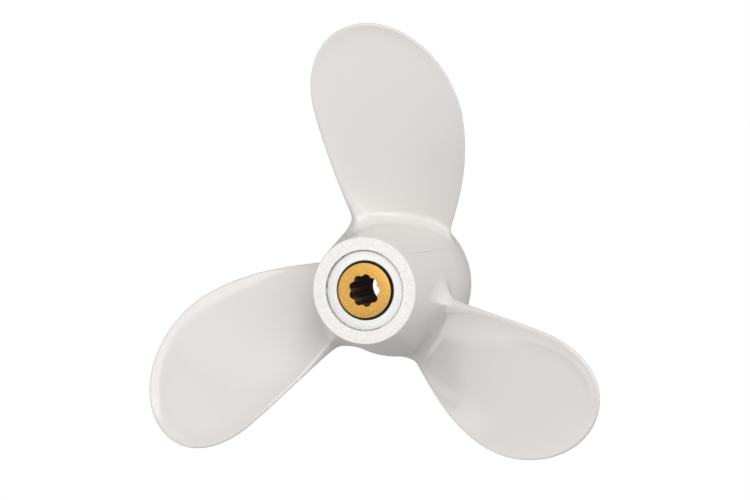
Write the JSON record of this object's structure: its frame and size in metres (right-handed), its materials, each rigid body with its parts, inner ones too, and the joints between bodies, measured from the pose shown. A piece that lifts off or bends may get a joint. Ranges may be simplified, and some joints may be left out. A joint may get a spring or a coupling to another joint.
{
  "type": "boat propeller",
  "caption": "Boat propeller for an outboard motor: broad round-tipped blades cast on a tapered hub, with a rubber-damped splined bush.",
  "frame": {"origin": "on the shaft axis, level with the point where the propeller balances, 27.5 mm above the hub's forward face", "axes": "+Z along the shaft axis towards the aft end, where the nut goes; +Y towards the first blade's root"},
  "size_m": [0.1702, 0.1561, 0.0488],
  "materials": {
    "white_paint": "gloss white paint on cast aluminium",
    "black_rubber": "matt black rubber",
    "brass": "turned brass"
  },
  "bodies": {
    "root": {"propeller_casting": "white_paint", "rubber_damper": "black_rubber", "splined_bush": "brass"}
  },
  "joints": []
}
